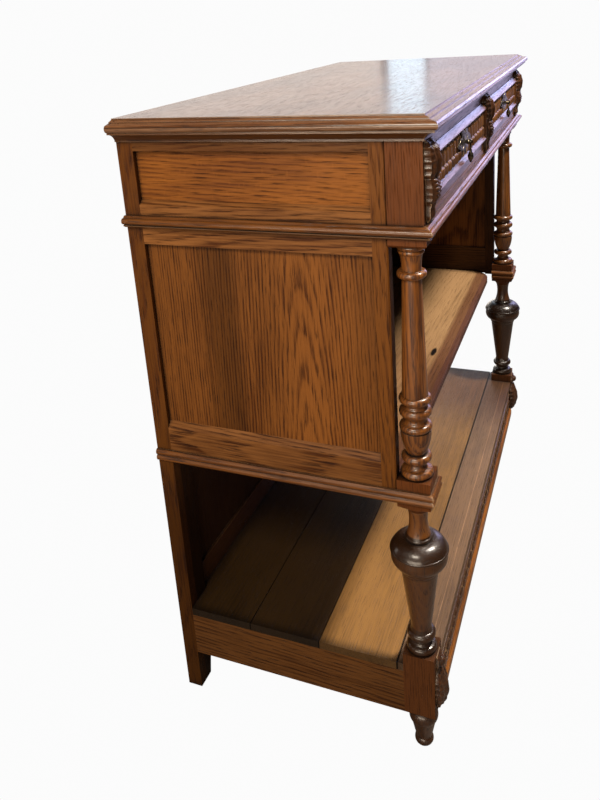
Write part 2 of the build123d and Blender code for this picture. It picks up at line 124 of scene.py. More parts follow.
floor = flat_square("floor", 30.0)
floor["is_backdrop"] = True


def seen_and_cast(tree, seen, cast):
    """A shader that looks one way to the camera and lights the object in another way."""
    path = tree.nodes.new("ShaderNodeLightPath")
    mix = tree.nodes.new("ShaderNodeMixShader")
    tree.links.new(path.outputs["Is Camera Ray"], mix.inputs[0])
    tree.links.new(cast.outputs[0], mix.inputs[1])
    tree.links.new(seen.outputs[0], mix.inputs[2])
    return mix


def background(tree, colour, strength):
    shader = tree.nodes.new("ShaderNodeBackground")
    shader.inputs["Color"].default_value = (*colour, 1)
    shader.inputs["Strength"].default_value = strength
    return shader


sky = bpy.data.worlds.new("sky")
scene.world = sky
sky.use_nodes = True
air = sky.node_tree
seen_sky = background(air, (1, 1, 1), 0.97)
cast_sky = background(air, (0.90, 0.90, 1.0), 0.05)
air.links.new(seen_and_cast(air, seen_sky, cast_sky).outputs[0], air.nodes["World Output"].inputs["Surface"])

top_middle, end_middle = (0, 0, 1.0), (-0.5, 0, 0.6)
soft_panel("ceiling_lamp", (0.35, -1.05, 2.6), (0, -0.1, 0.5), 0.30, 0.30, 85, (1.0, 0.91, 0.80))
soft_panel("warm_end", (-3.0, 0.1, 0.75), end_middle, 2.2, 0.7, 36, (1.0, 0.84, 0.66))
soft_panel("high_end", (-1.9, 0.0, 2.1), end_middle, 0.7, 0.5, 26, (1.0, 0.88, 0.72))
soft_panel("cream_wall", (3.0, 2.17, 1.55), top_middle, 2.76, 1.1, 9.0, (1.0, 0.95, 0.90))
soft_panel("tall_window", (3.0, 0.68, 1.6), top_middle, 0.22, 1.2, 1.5, (0.68, 0.86, 1.0))
soft_panel("lilac_wall", (3.0, 0.2, 1.6), top_middle, 0.7, 1.2, 2.4, (0.86, 0.87, 1.0))
soft_panel("violet_window", (3.0, -0.75, 1.6), (0, -0.2, 0.9), 0.9, 1.0, 12.0, (0.58, 0.58, 1.0))
soft_panel("violet_glow", (3.0, -0.75, 0.55), (0, -0.2, 0.6), 0.9, 0.9, 3.2, (0.72, 0.64, 1.0))
soft_panel("back_fill", (0.4, 3.4, 1.1), (0, 0, 0.6), 2.4, 1.6, 45, (1.0, 0.93, 0.86))
soft_panel("far_end_fill", (3.3, 1.0, 0.45), (0.5, 0.1, 0.6), 1.6, 0.7, 16, (1.0, 0.90, 0.80))

# %% [markdown]
# A finish is a node tree, and trees are easier to read as sums. A small class wraps one socket and overloads the
# operators, so `1 - mask * 0.4` adds its Math nodes by itself. One method makes every other kind of node.

# %% Maths on sockets
class Value:
    """A number that varies over a surface: one output socket of a finish."""

    def __init__(self, finish, socket):
        self.finish, self.socket = finish, socket

    def maths(self, operation, *terms):
        return self.finish.node("ShaderNodeMath", {"operation": operation}, dict(enumerate(terms)))

    def __add__(self, other):
        return self.maths("ADD", self, other)

    def __sub__(self, other):
        return self.maths("SUBTRACT", self, other)

    def __rsub__(self, other):
        return self.maths("SUBTRACT", other, self)

    def __mul__(self, other):
        return self.maths("MULTIPLY", self, other)

    def __truediv__(self, other):
        return self.maths("DIVIDE", self, other)

    def __pow__(self, other):
        return self.maths("POWER", self, other)

    __radd__, __rmul__ = __add__, __mul__

    def fract(self):
        return self.maths("FRACT", self)

    def root(self):
        return self.maths("SQRT", self)

    def ease(self, low, high):
        """0 below low, 1 above high, and a smooth rise between. Low above high turns it round."""
        settings = {"interpolation_type": "SMOOTHSTEP"}
        inputs = {"Value": self, "From Min": low, "From Max": high}
        return self.finish.node("ShaderNodeMapRange", settings, inputs)


class Finish:
    """A material under construction."""

    def __init__(self, name):
        self.material = bpy.data.materials.new(name)
        self.material.use_nodes = True
        self.tree = self.material.node_tree
        self.tree.nodes.clear()

    def node(self, kind, settings=None, inputs=None, output=0):
        """Adds a node, sets its settings, then its sockets, and returns one output."""
        made = self.tree.nodes.new(kind)
        for key, setting in (settings or {}).items():
            if key == "stops":
                ramp = made.color_ramp.elements
                while len(ramp) < len(setting):
                    ramp.new(0.5)
                for stop, (position, colour) in zip(ramp, setting):
                    stop.position, stop.color = position, (*colour, 1)
            else:
                setattr(made, key, setting)
        for key, content in (inputs or {}).items():
            if isinstance(content, Value):
                self.tree.links.new(content.socket, made.inputs[key])
            else:
                made.inputs[key].default_value = content
        return Value(self, made.outputs[output]) if made.outputs else None

    def object_place(self):
        return self.node("ShaderNodeTexCoord", output="Object")

    def mapped(self, place, scale=(1, 1, 1), turn=(0, 0, 0), shift=(0, 0, 0)):
        inputs = {"Vector": place, "Scale": scale, "Rotation": turn, "Location": shift}
        return self.node("ShaderNodeMapping", None, inputs)

    def parts(self, place):
        return [self.node("ShaderNodeSeparateXYZ", None, {0: place}, output=i) for i in range(3)]

    def joined(self, x, y, z):
        return self.node("ShaderNodeCombineXYZ", None, {0: x, 1: y, 2: z})

    def noise(self, place, scale, detail=3, roughness=0.5):
        inputs = {"Vector": place, "Scale": scale, "Detail": detail, "Roughness": roughness}
        return self.node("ShaderNodeTexNoise", None, inputs)

    def mix(self, amount, first, second, blend="MIX"):
        """Colours mixed by an amount. Plain colours are given as three numbers."""
        settings = {"data_type": "RGBA", "blend_type": blend}
        first, second = [c if isinstance(c, Value) else (*c, 1) for c in (first, second)]
        return self.node("ShaderNodeMix", settings, {0: amount, 6: first, 7: second}, output=2)

    def occlusion(self, distance, inside=False):
        """0 deep in a crease and 1 in the open. Looking inside, 0 is at a sharp edge."""
        settings = {"samples": 6, "only_local": False, "inside": inside}
        return self.node("ShaderNodeAmbientOcclusion", settings, {"Distance": distance}, output="AO")

    def bump(self, height, depth, strength=1.0):
        inputs = {"Height": height, "Distance": depth, "Strength": strength}
        return self.node("ShaderNodeBump", None, inputs)

    def surface(self, **sockets):
        """The closing shader. Socket names are written with _ for a space."""
        inputs = {}
        for key, content in sockets.items():
            colour = key == "Base_Color" and not isinstance(content, Value)
            inputs[key.replace("_", " ")] = (*content, 1) if colour else content
        shader = self.node("ShaderNodeBsdfPrincipled", None, inputs)
        self.node("ShaderNodeOutputMaterial", None, {"Surface": shader})
        return self.material


print("finish helpers ready")

# %% [markdown]
# Oak is drawn as it grows. Yearly rings lie round a pith that runs nearly along the board, a little tilted, so that
# a face near the pith shows pointed arches and a face far from it shows straight lines. Each ring opens with a band of
# pores, which stain dark as short dashes. Broad clouds of tone, old grime with painted shade in corners and creases,
# lighter rubbed edges with a painted edge highlight, and the worn wax come on top.

# %% Oak
golden, umber, pore_brown = (0.225, 0.078, 0.0135), (0.078, 0.024, 0.0065), (0.020, 0.0065, 0.0028)
soot_and_shade = (0.0075, 0.0042, 0.0030)
grain_order = {"X": (2, 1, 0), "Y": (0, 2, 1), "Z": (0, 1, 2)}


def oak(
    name,
    along="Z",
    light=golden,
    dark=umber,
    pore=pore_brown,
    pith=(0.14, 0.10),
    tilt=0.03,
    ring=0.0042,
    rings=0.5,
    grain=1.0,
    smear=0.3,
    contrast=0.85,
    gloss=0.42,
    coat=0.0,
    shine=0.12,
    dirt_and_shade_reach=0.022,
    seed=0.0,
    flakes=0.0,
    wear_and_edge_highlight=0.0,
    turn_at=None,
    bands=(),
    knot=None,
):
    """A stained and waxed oak whose grain runs along one axis. Pith is where the tree's middle lies, in metres.

    Past turn_at, given as the X and Y half sizes of a board's flat, the grain turns along Y as in a mitred edge.
    Each band is (axis, from, to, soft, factor): between the two places the colour is multiplied by the factor,
    which is a number or a tint. A knot is (x, y, half length, half width) of a dark hole.
    """
    finish = Finish(name)
    place = finish.object_place()
    parts = finish.parts(place)
    across, deep, length = [parts[i] for i in grain_order[along]]
    if turn_at:
        past_end = parts[0].maths("ABSOLUTE", parts[0]) - turn_at[0]
        past_front = parts[1].maths("ABSOLUTE", parts[1]) - turn_at[1]
        turned_edge = past_end.ease(-0.0005, 0.0005) * (past_end - past_front).ease(-0.0005, 0.0005)
        deep, length = deep + (length - deep) * turned_edge, length + (deep - length) * turned_edge
    stretched = finish.joined(across + seed, deep - seed, length * 0.12 + seed * 3)
    wobble = (finish.noise(stretched, 7, detail=2) - 0.5) * 0.03
    ripple = (finish.noise(finish.joined(across, deep, length * 0.25), 45, detail=2) - 0.5) * 0.003
    from_pith = ((across - pith[0] - length * tilt + wobble) ** 2 + (deep - pith[1]) ** 2).root() + ripple
    year = (from_pith / ring).fract()
    early = year.ease(0.62, 0.05) + year.ease(0.82, 1.0)

    dashes = finish.noise(finish.joined(across, deep, length * 0.055 + seed), 560, detail=2, roughness=0.6)
    pores = dashes.ease(0.50, 0.64) * (early * 0.7 + 0.3)
    fibres = finish.noise(finish.joined(across, deep, length * 0.028), 300, detail=3, roughness=0.6)
    clouds = finish.noise(finish.joined(across, deep, length * 0.4 + seed), 9, detail=3, roughness=0.55)
    streaks = fibres.ease(0.40, 0.62)
    shade = (early * (streaks * 0.7 + 0.3) * rings + clouds.ease(0.36, 0.66) * 0.45 + (fibres - 0.42) * 1.1) * contrast
    colour = finish.mix(shade.ease(0.0, 0.95), light, dark)
    colour = finish.mix(pores * 0.85 * contrast * grain, colour, pore)
    if flakes:
        rays = finish.noise(finish.joined(across * 0.5, deep * 0.5, length * 1.6), 130, detail=2)
        colour = finish.mix(rays.ease(0.60, 0.72) * flakes, colour, [min(1, c * 1.5) for c in light])
    for axis, start, end, soft, factor in bands:
        here = parts["XYZ".index(axis)]
        inside = here.ease(start - soft, start + soft) * here.ease(end + soft, end - soft)
        tint = factor if isinstance(factor, tuple) else (factor, factor, factor)
        colour = finish.mix(inside, colour, finish.mix(1.0, colour, tint, "MULTIPLY"))
    if knot:
        reach = ((parts[0] - knot[0]) / knot[2]) ** 2 + ((parts[1] - knot[1]) / knot[3]) ** 2
        colour = finish.mix(reach.ease(2.2, 0.6), colour, soot_and_shade)
    # Old grime and painted shade: the colour darkens to near black in corners, creases and hollows.
    open_air = finish.occlusion(dirt_and_shade_reach)
    crease = finish.occlusion(0.007)
    colour = finish.mix(open_air.ease(0.95, 0.25) * 0.80, colour, soot_and_shade)
    colour = finish.mix(crease.ease(0.80, 0.35) * 0.85, colour, soot_and_shade)
    # Rubbed edges: sharp edges turn a lighter brown, partly real rubbing and partly a painted edge highlight.
    if wear_and_edge_highlight:
        edges = finish.occlusion(0.0022, inside=True).ease(0.80, 0.40)
        colour = finish.mix(edges * clouds.ease(0.25, 0.55) * wear_and_edge_highlight, colour, (0.33, 0.20, 0.105))
    wax = finish.noise(finish.joined(across, deep, length * 0.4), 26, detail=4, roughness=0.6)
    rough = (wax - 0.5) * smear + gloss + pores * 0.15 + crease.ease(0.8, 0.3) * 0.25
    relief = (fibres - 0.5) * 0.5 - pores
    return finish.surface(
        Base_Color=colour,
        Roughness=rough,
        Coat_Weight=coat,
        Coat_Roughness=0.20,
        Specular_IOR_Level=shine,
        Normal=finish.bump(relief, 0.0005, 0.5),
    )


def dress(name, material):
    """Gives every material slot of a node the finish."""
    for slot in nodes[name].material_slots:
        slot.material = material


def toned(colour, factor, warmth=1.0):
    """A colour made lighter or darker, and warmer or cooler."""
    return (colour[0] * factor * warmth, colour[1] * factor, colour[2] * factor / warmth)


# %% Oak for the cabinet's boards
def both(name):
    return [f"left_{name}", f"right_{name}"]


# The case's own half sizes, and where boards meet or wood has darkened, and where shade, highlights and sheen are
# painted on.
block_low, block_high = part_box("right_corner_block")
side_half, front_half = block_high[0], -block_low[1]
panel_boards = [
    ("Y", 0.070, 0.128, 0.016, 0.48),
    ("Y", 0.128, 0.300, 0.0006, 0.80),
    ("Y", 0.1274, 0.1286, 0.0004, 0.45),
    ("Y", 0.005, 0.070, 0.045, 0.80),
    ("Y", -1.0, -0.110, 0.018, 0.75),
]
# Bottom boards: the dark seam between the front boards is real. The rest is painted light: painted shade over the two
# rear boards, at both ends and on the right-hand part, a painted violet sheen on the front board, and a painted
# highlight along its front edge.
board_seams_and_painted_light = [
    ("Y", -0.0255, 1.0, 0.0015, 0.16),
    ("Y", -0.1595, -0.1555, 0.0008, 0.3),
    ("Y", -1.0, -0.1585, 0.001, (0.80, 0.92, 1.75)),
    ("Y", -0.2010, -0.1992, 0.0004, 1.7),
    ("X", -1.0, -0.508, 0.012, 0.28),
    ("X", 0.508, 1.0, 0.012, 0.28),
    ("X", 0.26, 1.0, 0.12, (0.50, 0.42, 0.40)),
]
# Middle shelf: a real dark stain along the front edge, a painted violet sheen on the front strip, and painted shade
# over the rear. The shelf is also darker towards the left end.
shelf_stains_and_painted_light = [
    ("Y", -1.0, -0.126, 0.006, (0.46, 0.36, 0.36)),
    ("Y", -1.0, -0.1475, 0.0008, (0.70, 0.65, 0.90)),
    ("Y", 0.05, 1.0, 0.12, 0.45),
    ("X", -1.0, -0.02, 0.10, (0.80, 0.74, 0.72)),
]
# Top board's edge: a painted pale blue sheen on the moulded edge and a painted shade line in the step above it.
top_edge_painted_light = [("Z", 1.0, 1.0335, 0.0005, (1.25, 1.50, 2.0)), ("Z", 1.0330, 1.0345, 0.0003, 0.4)]
# Turnings: the black and dark bands are their own colour and the feet are darker. A thin painted highlight runs round
# the knob's bead, and the right-hand column, baluster and feet are painted in shade at about half.
turning_tones_and_painted_light = [
    ("Z", 0.378, 0.409, 0.001, 0.16),
    ("Z", 0.3786, 0.3802, 0.0003, 7.0),
    ("Z", 0.340, 0.378, 0.001, 0.40),
    ("Z", 0.238, 0.340, 0.002, 0.52),
    ("Z", 0.190, 0.238, 0.002, 0.22),
    ("Z", 0.511, 0.655, 0.010, 0.78),
    ("X", 0.25, 1.0, 0.05, 0.55),
    ("Z", -0.01, 0.078, 0.006, 0.30),
]


upright_members = both("back_post") + both("front_stile") + ["back_muntins", "centre_divider"]
level_ends = both("frieze_top_rail") + both("middle_rail") + both("bottom_rail") + both("base_side_rail")
long_fronts = ["front_top_rail", "front_bottom_rail", "waist_moulding", "bed_moulding", "front_apron", "back_rails"]
blocks = both("corner_block") + both("mid_block") + both("base_block") + ["architrave_blocks"]
turnings = both("column") + both("baluster") + ["turned_feet"]
inner_boards = ["drawer_supports"] + both("drawer_sides") + both("drawer_back") + both("drawer_base")
reddish, deep_brown = (0.150, 0.045, 0.0105), (0.095, 0.029, 0.0080)
# Painted shade: members darken towards the floor below the middle shelf's height.
low_down_painted_shade = ("Z", -1.0, 0.47, 0.16, 0.42)
# Painted shade: the blocks darken and cool towards the floor in the same way.
blocks_low_painted_shade = ("Z", -1.0, 0.47, 0.16, (0.60, 0.68, 0.85))
# Painted shade: whatever of the end frames lies inside the case, their inner faces, is darker.
inner_faces_painted_shade = ("X", -0.4985, 0.4985, 0.0006, 0.35)

for count, name in enumerate(upright_members):
    light = toned(golden, 0.62 if "post" in name else 0.80)
    dress(name, oak(f"oak_{name}", "Z", seed=count * 1.7, pith=(0.3, 0.2), ring=0.0030, light=light, bands=[low_down_painted_shade, inner_faces_painted_shade]))
for count, name in enumerate(level_ends):
    # The frieze top rails get about half the colour of the other end rails: painted shade under the top's overhang.
    light = (0.150, 0.060, 0.017) if "top_rail" in name else (0.290, 0.118, 0.034)
    dress(name, oak(f"oak_{name}", "Y", seed=count * 2.3, pith=(0.4, 0.6), ring=0.0034, light=light, bands=[low_down_painted_shade, inner_faces_painted_shade]))
for count, name in enumerate(long_fronts):
    edged = {"turn_at": (side_half, front_half)} if name in ("waist_moulding", "bed_moulding") else {}
    # The bed moulding at about half and the back rails much darker: painted shade under the top's overhang and at the
    # back of the bays.
    light = toned(golden, {"back_rails": 0.3, "front_apron": 1.7, "bed_moulding": 0.50}.get(name, 0.85))
    looks = {"pith": (0.6, 0.8), "ring": 0.003, "wear_and_edge_highlight": 0.5, "shine": 0.5, "coat": 0.25, "gloss": 0.32}
    dress(name, oak(f"oak_{name}", "X", seed=count * 1.3, light=light, **looks, **edged))
for count, name in enumerate(blocks):
    dress(name, oak(f"oak_{name}", "Z", seed=count * 3.1, pith=(0.6, 0.8), ring=0.0026, contrast=0.6, light=reddish, bands=[blocks_low_painted_shade]))
for count, name in enumerate(turnings):
    light = toned(golden, 1.7 if "column" in name else 0.75)
    looks = {"light": light, "gloss": 0.34, "coat": 0.6, "shine": 0.5, "pith": (0.0, 0.12), "bands": turning_tones_and_painted_light}
    dress(name, oak(f"oak_{name}", "Z", seed=count * 2.9, dark=deep_brown, wear_and_edge_highlight=0.5, dirt_and_shade_reach=0.012, **looks))
for name in both("string_moulding"):
    dress(name, oak(f"oak_{name}", "Y", seed=4.4, ring=0.003, light=toned(golden, 0.9), wear_and_edge_highlight=0.8, shine=0.4))
for name in both("frieze_panel"):
    looks = {"pith": (1.5, 1.9), "ring": 0.0030, "rings": 0.35, "flakes": 0.12, "seed": 8.0}
    dress(name, oak(f"oak_{name}", "Y", light=toned(golden, 1.35), dark=toned(umber, 1.5), **looks))
for name in both("side_panel"):
    looks = {"pith": (-0.49, -0.03), "tilt": 0.05, "ring": 0.0042, "rings": 0.65, "seed": 2.0, "bands": panel_boards + [inner_faces_painted_shade]}
    dress(name, oak(f"oak_{name}", "Z", light=(0.250, 0.089, 0.0185), **looks))
# The back panels are near black: painted shade at the back of the bays.
dress("back_panels", oak("oak_back_panels", "Z", light=(0.050, 0.022, 0.009), dark=(0.030, 0.012, 0.005), seed=5.0))
shelf_looks = {"grain": 0.6, "light": (0.39, 0.230, 0.108), "dark": (0.175, 0.095, 0.040), "rings": 0.25, "contrast": 0.62, "gloss": 0.5}
dress("middle_shelf", oak("oak_middle_shelf", "X", bands=shelf_stains_and_painted_light, knot=(-0.022, -0.117, 0.016, 0.0045), **shelf_looks))
board_looks = {"light": (0.285, 0.143, 0.040), "dark": (0.085, 0.042, 0.014), "rings": 0.10, "contrast": 0.75, "grain": 0.6}
dress("bottom_boards", oak("oak_bottom_boards", "X", gloss=0.46, coat=0.08, shine=0.3, bands=board_seams_and_painted_light, **board_looks))
top_looks = {"shine": 0.5, "smear": 0.08, "pith": (0.9, 0.3), "light": (0.20, 0.088, 0.036), "gloss": 0.22, "coat": 0.55, "ring": 0.005, "rings": 0.3}
dress("top_board", oak("oak_top", "X", wear_and_edge_highlight=0.7, turn_at=(side_half - 0.002, front_half - 0.002), bands=top_edge_painted_light, **top_looks))
for name in inner_boards:
    dress(name, oak(f"oak_{name}", "Y", light=(0.13, 0.07, 0.035), dark=(0.06, 0.03, 0.015), gloss=0.6, coat=0.0))
for name in ["centre_corbel", "base_carvings"] + both("corbel") + both("drawer_front"):
    dress(name, oak(f"oak_{name}", "X", light=toned(golden, 0.55), gloss=0.34, coat=0.35, shine=0.5, wear_and_edge_highlight=0.4))
print("oak finishes", len([m for m in bpy.data.materials if m.name.startswith("oak_")]))

# %% [markdown]
# The pulls are old brass, brown-green in the hollows and rubbed bright where fingers touch them.

# %% Old brass
def old_brass(name):
    finish = Finish(name)
    place = finish.object_place()
    patina = finish.noise(place, 160, detail=4, roughness=0.6)
    open_air = finish.occlusion(0.004)
    rubbed = (open_air.ease(0.3, 0.95) * patina.ease(0.30, 0.70)).ease(0.1, 0.9)
    colour = finish.mix(rubbed, (0.035, 0.030, 0.022), (0.23, 0.19, 0.125))
    return finish.surface(
        Base_Color=colour,
        Metallic=1.0,
        Roughness=0.55 - rubbed * 0.25,
        Normal=finish.bump(patina, 0.0003, 0.6),
    )


brass = old_brass("old_brass")
for name in both("pull_plate") + both("pull_drop"):
    dress(name, brass)

# %% [markdown]
# Carving comes next. A carver cuts a block back from its face, so each carving here is a grid of points pushed out
# from a flat back by a rule: how far the block stands out down its length, less the flutes, veins and drilled holes.
# The sides and the back are closed, so each is a real solid. A smooth line through a few heights gives the profile.

# %% A carver's helpers
mm = 0.001


def smooth(t):
    return t * t * (3 - 2 * t)


def through(points, t):
    """The value at t of a smooth line through (t, value) points."""
    for (t0, v0), (t1, v1) in zip(points, points[1:]):
        if t <= t1:
            return v0 + (v1 - v0) * smooth((t - t0) / (t1 - t0))
    return points[-1][1]


def hump(x, middle, half):
    """A round hump of height 1 that is half wide on each side of its middle."""
    reach = abs(x - middle) / half
    return math.sqrt(1 - reach * reach) if reach < 1 else 0.0


def carved(name, shape, columns, rows, back=-0.3):
    """A closed mesh. shape(u, v) gives x, height and stand-off in millimetres for u and v from 0 to 1."""
    shaper = bmesh.new()
    grid = []
    for row in range(rows + 1):
        grid.append([shaper.verts.new(shape(column / columns, row / rows)) for column in range(columns + 1)])
    for lower, upper in zip(grid, grid[1:]):
        for column in range(columns):
            shaper.faces.new((lower[column], lower[column + 1], upper[column + 1], upper[column]))
    rim = grid[0] + [row[-1] for row in grid[1:]] + grid[-1][-2::-1] + [row[0] for row in grid[-2:0:-1]]
    flat = [shaper.verts.new((vert.co.x, vert.co.y, back)) for vert in rim]
    for here in range(len(rim)):
        after = (here + 1) % len(rim)
        shaper.faces.new((rim[here], flat[here], flat[after], rim[after]))
    shaper.faces.new(flat[::-1])
    bmesh.ops.recalc_face_normals(shaper, faces=shaper.faces)
    mesh = bpy.data.meshes.new(name)
    shaper.to_mesh(mesh)
    shaper.free()
    mesh.shade_smooth()
    mesh.set_sharp_from_angle(angle=math.radians(50))
    return mesh


def on_front(mesh, x, y, z):
    """Stands a mesh drawn flat, in millimetres, upright on a wall that faces the front."""
    for vert in mesh.vertices:
        along, height, out = vert.co
        vert.co = (x + along * mm, y - out * mm, z + height * mm)
    return mesh


def piece(name, mesh, material, slot, body, *stands_for):
    """Links a finished mesh as a piece of the sideboard."""
    made = bpy.data.objects.new(name, mesh)
    scene.collection.objects.link(made)
    mesh.materials.clear()
    mesh.materials.append(material)
    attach(made, body)
    if stands_for:
        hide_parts(*stands_for)
    print(name, "faces", len(mesh.polygons))
    return made


def joined(*meshes):
    """One mesh from several."""
    shaper = bmesh.new()
    for mesh in meshes:
        shaper.from_mesh(mesh)
    whole = bpy.data.meshes.new(meshes[0].name)
    shaper.to_mesh(whole)
    shaper.free()
    return whole


carved_looks = {"gloss": 0.36, "coat": 0.2, "shine": 0.5, "dirt_and_shade_reach": 0.008, "wear_and_edge_highlight": 0.9}
carved_oak = oak("oak_carved", "Z", light=(0.085, 0.030, 0.0090), dark=(0.030, 0.011, 0.0045), **carved_looks)
tongue_oak = oak("oak_tongues", "Z", light=(0.200, 0.082, 0.0240), dark=(0.070, 0.026, 0.0090), **carved_looks)

# %% [markdown]
# A scroll bracket hides the top of each leg block. It is an acanthus leaf that swells, turns over at its tip, and
# drops a string of beads down a narrow tail. Its outline is scalloped by the lobes of the leaf.

# %% Scroll brackets
bracket_line = [
    (0.0, 4), (0.05, 9), (0.12, 15), (0.24, 17.5), (0.36, 16), (0.44, 12.5), (0.50, 15), (0.60, 17.5),
    (0.70, 16), (0.77, 10.5), (0.84, 8), (0.93, 8.5), (1.0, 3),
]
bracket_half_width = [(0.0, 0.8), (0.1, 1.0), (0.42, 0.92), (0.5, 0.74), (0.72, 0.66), (0.8, 0.56), (0.92, 0.66), (1, 0.5)]


def bracket(width, height):
    """Acanthus above, two rows of beads in the middle, a small leaf below."""

    def shape(u, v):
        side = 2 * u - 1
        lobes = 1 - 0.09 * abs(math.sin(v * height / 9 * math.pi)) * (1 if v < 0.46 else 0.4)
        half = width / 2 * through(bracket_half_width, v) * lobes
        out = through(bracket_line, v) * (1 - 0.30 * abs(side) ** 2.5)
        if v < 0.46:
            lean = side * 3.5 + v * 2.2 * (1 if side > 0 else -1)
            out -= 2.4 * (0.5 + 0.5 * math.cos(lean * math.pi)) * min(1, v * 9)
            out += 2.2 * hump(side, 0, 0.16)
        elif v < 0.76:
            step = (v - 0.46) * height / 5.6
            bead = hump(step % 1, 0.5, 0.5)
            out += 3.0 * bead * (hump(side, -0.5, 0.32) + hump(side, 0.5, 0.32)) - 2.6
            out += 2.0 * hump(side, 0, 0.2)
        else:
            out -= 1.6 * (0.5 + 0.5 * math.cos(side * 5 * math.pi))
        return side * half, -v * height, max(0.4, out)

    return shape


leg_blocks = {"left_corbel": "left_corbel", "right_corbel": "right_corbel", "centre_corbel": "centre_corbel"}
for name in leg_blocks:
    low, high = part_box(name)
    width, height = (high[0] - low[0]) / mm, (high[2] - low[2]) / mm
    mesh = carved(f"{name}_carving", bracket(width, height), 56, 132)
    on_front(mesh, (low[0] + high[0]) / 2, high[1], high[2])
    piece(f"{name}_carving", mesh, carved_oak, "carved_oak", "case", name)

# %% [markdown]
# The base blocks carry a bud over a long fluted leaf. The two are one mirrored pair, so one shape serves both.

# %% Leaves on the base blocks
leaf_line = [(0.0, 1.5), (0.05, 6), (0.16, 5), (0.24, 3.5), (0.34, 9), (0.52, 15), (0.66, 16), (0.82, 12), (0.93, 7), (1.0, 2)]
leaf_half_width = [(0.0, 0.55), (0.14, 0.75), (0.24, 0.55), (0.42, 1.0), (0.66, 0.98), (0.9, 0.62), (1.0, 0.3)]


def leaf(width, height):
    """A round bud, a pinched stem and a leaf with veins that meet at its foot."""

    def shape(u, v):
        side = 2 * u - 1
        lobes = 1 - 0.08 * abs(math.sin(v * height / 11 * math.pi)) * (1 if v > 0.3 else 0)
        half = width / 2 * through(leaf_half_width, v) * lobes
        out = through(leaf_line, v) * (1 - 0.35 * abs(side) ** 2.2)
        if v > 0.26:
            veins = 0.5 + 0.5 * math.cos(side * math.pi * (4 - 1.5 * v) + v * 2.5 * (1 if side > 0 else -1))
            out -= 2.6 * veins * min(1, (v - 0.26) * 8)
            out += 2.4 * hump(side, 0, 0.15)
        else:
            out += 7.5 * hump(math.hypot(side * half, (v - 0.13) * height), 0, 8.5)
        return side * half, -v * height, max(0.4, out)

    return shape


low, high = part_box("base_carvings")
block_width = high[2] - low[2]
base_low, base_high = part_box("left_base_block")
leaf_width = (base_high[0] - base_low[0]) / mm * 0.84
leaves_pair = []
for name in both("base_block"):
    block_low, block_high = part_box(name)
    mesh = carved(f"{name}_leaf", leaf(leaf_width, (high[2] - low[2]) / mm), 52, 120)
    leaves_pair.append(on_front(mesh, (block_low[0] + block_high[0]) / 2, high[1], high[2]))
piece("base_leaf_carvings", joined(*leaves_pair), carved_oak, "carved_oak", "case", "base_carvings")

# %% [markdown]
# What repeats along a rail is one carved module and a count. Geometry Nodes puts a copy at every step of a line, and
# Realize Instances turns the copies into plain faces, so that nothing is lost on export. The tree's sizes are named
# inputs, set on the modifier by each socket's identifier.

# %% Repeating along a line
def repeater():
    """A node tree: Module repeated Count times, Spacing apart along X, the row centred on the origin."""
    tree = bpy.data.node_groups.new("repeat_along_a_rail", "GeometryNodeTree")
    face = tree.interface
    face.new_socket("Geometry", in_out="INPUT", socket_type="NodeSocketGeometry")
    for label, kind in (("Module", "Object"), ("Count", "Int"), ("Spacing", "Float"), ("Finish", "Material")):
        face.new_socket(label, in_out="INPUT", socket_type=f"NodeSocket{kind}")
    face.new_socket("Geometry", in_out="OUTPUT", socket_type="NodeSocketGeometry")
    nodes_of, links = tree.nodes, tree.links
    start, end = nodes_of.new("NodeGroupInput"), nodes_of.new("NodeGroupOutput")
    gaps = nodes_of.new("ShaderNodeMath")
    gaps.operation = "SUBTRACT"
    gaps.inputs[1].default_value = 1.0
    links.new(start.outputs["Count"], gaps.inputs[0])
    reach = nodes_of.new("ShaderNodeMath")
    reach.operation = "MULTIPLY"
    links.new(gaps.outputs[0], reach.inputs[0])
    links.new(start.outputs["Spacing"], reach.inputs[1])
    half = nodes_of.new("ShaderNodeMath")
    half.operation = "MULTIPLY"
    half.inputs[1].default_value = -0.5
    links.new(reach.outputs[0], half.inputs[0])
    first, step = nodes_of.new("ShaderNodeCombineXYZ"), nodes_of.new("ShaderNodeCombineXYZ")
    links.new(half.outputs[0], first.inputs["X"])
    links.new(start.outputs["Spacing"], step.inputs["X"])
    line = nodes_of.new("GeometryNodeMeshLine")
    line.mode = "OFFSET"
    links.new(start.outputs["Count"], line.inputs["Count"])
    links.new(first.outputs[0], line.inputs["Start Location"])
    links.new(step.outputs[0], line.inputs["Offset"])
    module = nodes_of.new("GeometryNodeObjectInfo")
    links.new(start.outputs["Module"], module.inputs["Object"])
    copies = nodes_of.new("GeometryNodeInstanceOnPoints")
    links.new(line.outputs["Mesh"], copies.inputs["Points"])
    links.new(module.outputs["Geometry"], copies.inputs["Instance"])
    real = nodes_of.new("GeometryNodeRealizeInstances")
    links.new(copies.outputs["Instances"], real.inputs["Geometry"])
    paint = nodes_of.new("GeometryNodeSetMaterial")
    links.new(real.outputs["Geometry"], paint.inputs["Geometry"])
    links.new(start.outputs["Finish"], paint.inputs["Material"])
    links.new(paint.outputs["Geometry"], end.inputs["Geometry"])
    return tree


rail_repeater = repeater()


